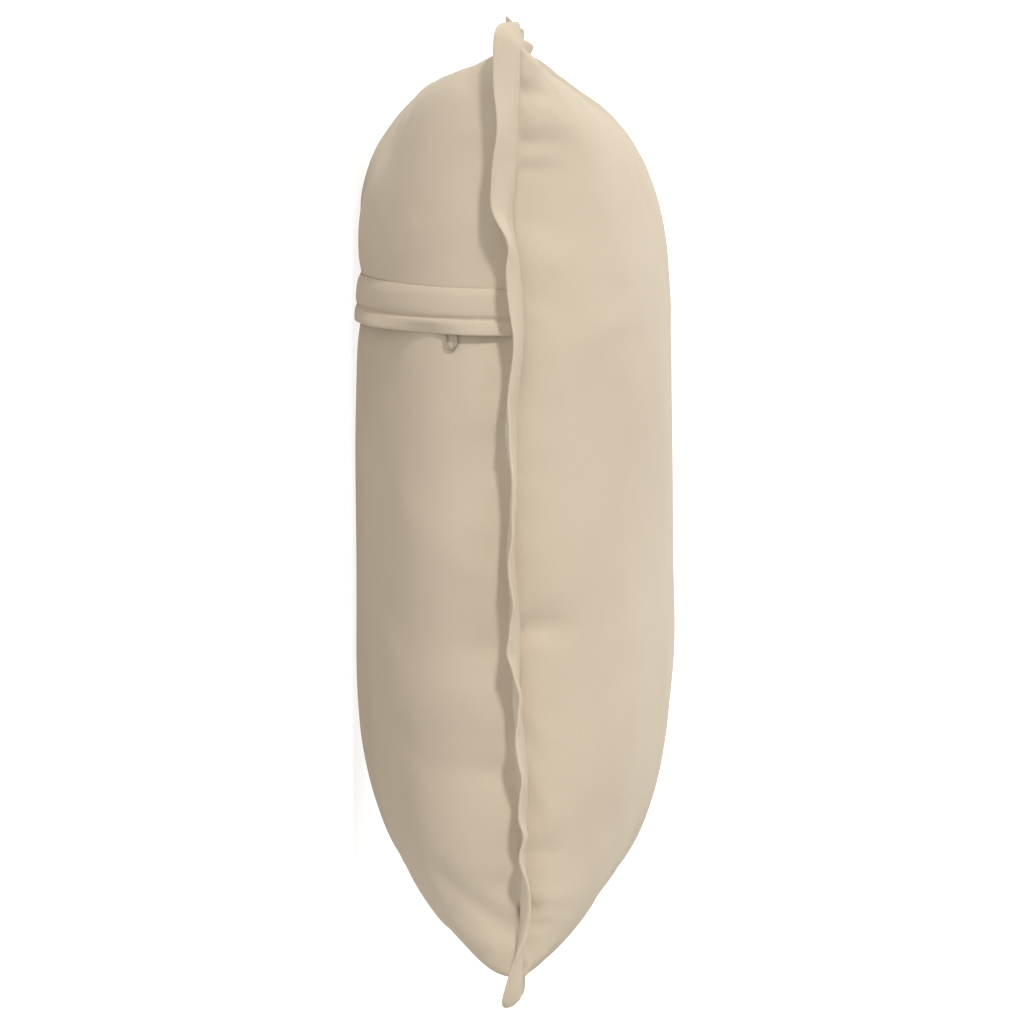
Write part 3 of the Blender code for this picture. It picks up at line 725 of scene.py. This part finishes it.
def by_height(points, rows, key):
    """A value that changes with height above the floor, from rows of heights and values."""
    return np.interp(points[:, 2], [row["height"] for row in rows], [row[key] for row in rows])


flap = make_piece(quads_of("zip_flap"), "cloth_zip_flap", beige_cloth)
subdivide(flap, 2)
cover_places = [Vector(p) for p in cover_points]
cover_faces = [tuple(face.vertices) for face in cover.data.polygons]
cover_tree = BVHTree.FromPolygons(cover_places, cover_faces)
flap_points = points_of(flap)
off_cover = np.array([cover_tree.find_nearest(p)[1] for p in flap_points])

above_lip = flap_points[:, 1] - lip_y(flap_points[:, 0])
loose = smooth_step((GROOVE_ABOVE_LIP - above_lip) / GROOVE_ABOVE_LIP)
shift = by_height(flap_points, LIP_LIFTS, "lift") * loose
groove = bell(above_lip - GROOVE_ABOVE_LIP, GROOVE_SPREAD)
shift -= GROOVE_DEEPER * groove * smooth_step(flap_points[:, 2] / GROOVE_OFF_FLOOR)
sewn = smooth_step((above_lip - FLAP_WIDTH + SEWN_EDGE["within"]) / SEWN_EDGE["within"])
shift -= SEWN_EDGE["press"] * sewn
flap_points += off_cover * shift[:, None]

end_top = flap_points[:, 2].max()
near_end = np.clip(1 - (end_top - flap_points[:, 2]) / END_STRETCH["over"], 0, 1)
flap_points[:, 2] += END_STRETCH["by"] * near_end
flap_points[:, 2] = np.maximum(flap_points[:, 2], 0)
set_points(flap, flap_points)
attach(flap, "root")
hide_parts("zip_flap")
print("flap:", triangles_in(flap), "triangles, lip at", round(float(lip_y(0)), 4), "in the middle")

# %% [markdown]
# The stitches lie in the groove: short lengths of thread, one after another, sunk into the cloth.
# The groove's line is found by cutting a copy of the flap along it, and the threads are set on the
# outer side of that cut at an even spacing.

# %% Sew the groove
STITCH_EVERY = 0.0036
STITCH_LENGTH = 0.0026
THREAD_RADIUS = 0.00020
SKIP_AT_ENDS = 0.006
LOOK_AHEAD = 0.0005
OUTER_SIDE_FROM = 0.0011


def groove_line():
    """Points along the flap's outer side at the groove, from one end to the other."""
    bm = bmesh.new()
    bm.from_mesh(flap.data)
    for corner in bm.verts:
        corner.co.y -= lip_y(corner.co.x)
    cut = bmesh.ops.bisect_plane(
        bm, geom=bm.verts[:] + bm.edges[:] + bm.faces[:],
        plane_co=(0, GROOVE_ABOVE_LIP, 0), plane_no=(0, 1, 0),
    )["geom_cut"]
    cut_corners = [item.co for item in cut if isinstance(item, bmesh.types.BMVert)]
    found = [Vector((co.x, co.y + lip_y(co.x), co.z)) for co in cut_corners]
    bm.free()
    outer = []
    for point in found:
        near, facing, _, _ = cover_tree.find_nearest(point)
        if (point - near).dot(facing) > OUTER_SIDE_FROM:
            outer.append((point, facing))
    outer.sort(key=lambda item: math.atan2(item[0].x, SEAM_Z - item[0].z))
    return outer


line = groove_line()
line_points = np.array([item[0] for item in line])
line_facing = np.array([item[1] for item in line])
run = np.concatenate([[0], np.cumsum(np.linalg.norm(np.diff(line_points, axis=0), axis=1))])
print("groove:", len(line), "points,", round(run[-1], 3), "m")


def on_line(rows, distance):
    """The point or direction that lies this far along the groove."""
    return Vector([np.interp(distance, run, rows[:, axis]) for axis in range(3)])


bm = bmesh.new()
stitch_count = int((run[-1] - 2 * SKIP_AT_ENDS) / STITCH_EVERY)
for k in range(stitch_count):
    here = SKIP_AT_ENDS + (k + 0.5) * STITCH_EVERY
    place = on_line(line_points, here)
    facing = on_line(line_facing, here)
    along = (on_line(line_points, here + LOOK_AHEAD) - place).normalized()
    outwards = (facing - along * facing.dot(along)).normalized()
    across = along.cross(outwards)
    thread = bmesh.ops.create_uvsphere(bm, u_segments=8, v_segments=6, radius=1)["verts"]
    bmesh.ops.scale(bm, verts=thread, vec=(THREAD_RADIUS, THREAD_RADIUS, STITCH_LENGTH / 2))
    spin = Matrix((across, outwards, along)).transposed().to_4x4()
    bmesh.ops.transform(bm, verts=thread, matrix=Matrix.Translation(place) @ spin)
stitches = make_piece(bm, "groove_stitches", beige_cloth)
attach(stitches, "root")
print("stitches:", stitch_count, "of", triangles_in(stitches), "triangles")

# %% [markdown]
# ## The zip's pull ring
# The zip itself is hidden. Only its small pull shows, a closed loop of wire painted a darker
# beige, which hangs out below the lip.

# %% Round the ring
RING_TONE = (0.40, 0.325, 0.235)
RING_DARKER = [0.8 * tone for tone in RING_TONE]
RING_TONES_BETWEEN = (0.35, 0.65)
SPECK_SCALE = 700

ring_paint = bpy.data.materials.new("ring_paint")
ring_shader = shader_of(ring_paint)
ring_tree = ring_paint.node_tree
ring_place = add_node(ring_tree, "ShaderNodeTexCoord").outputs["Object"]
specks = noise_at(ring_tree, ring_place, SPECK_SCALE, detail=2)
ring_colour = two_tones(ring_tree, specks, RING_DARKER, RING_TONE, RING_TONES_BETWEEN)
ring_tree.links.new(ring_colour, ring_shader.inputs["Base Color"])
ring_shader.inputs["Roughness"].default_value = 0.38

ring = make_piece(quads_of("zip_pull_ring"), "pull_ring", ring_paint)
subdivide(ring, 2)
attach(ring, "root")
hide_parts("zip_pull_ring")
print("ring:", triangles_in(ring), "triangles")
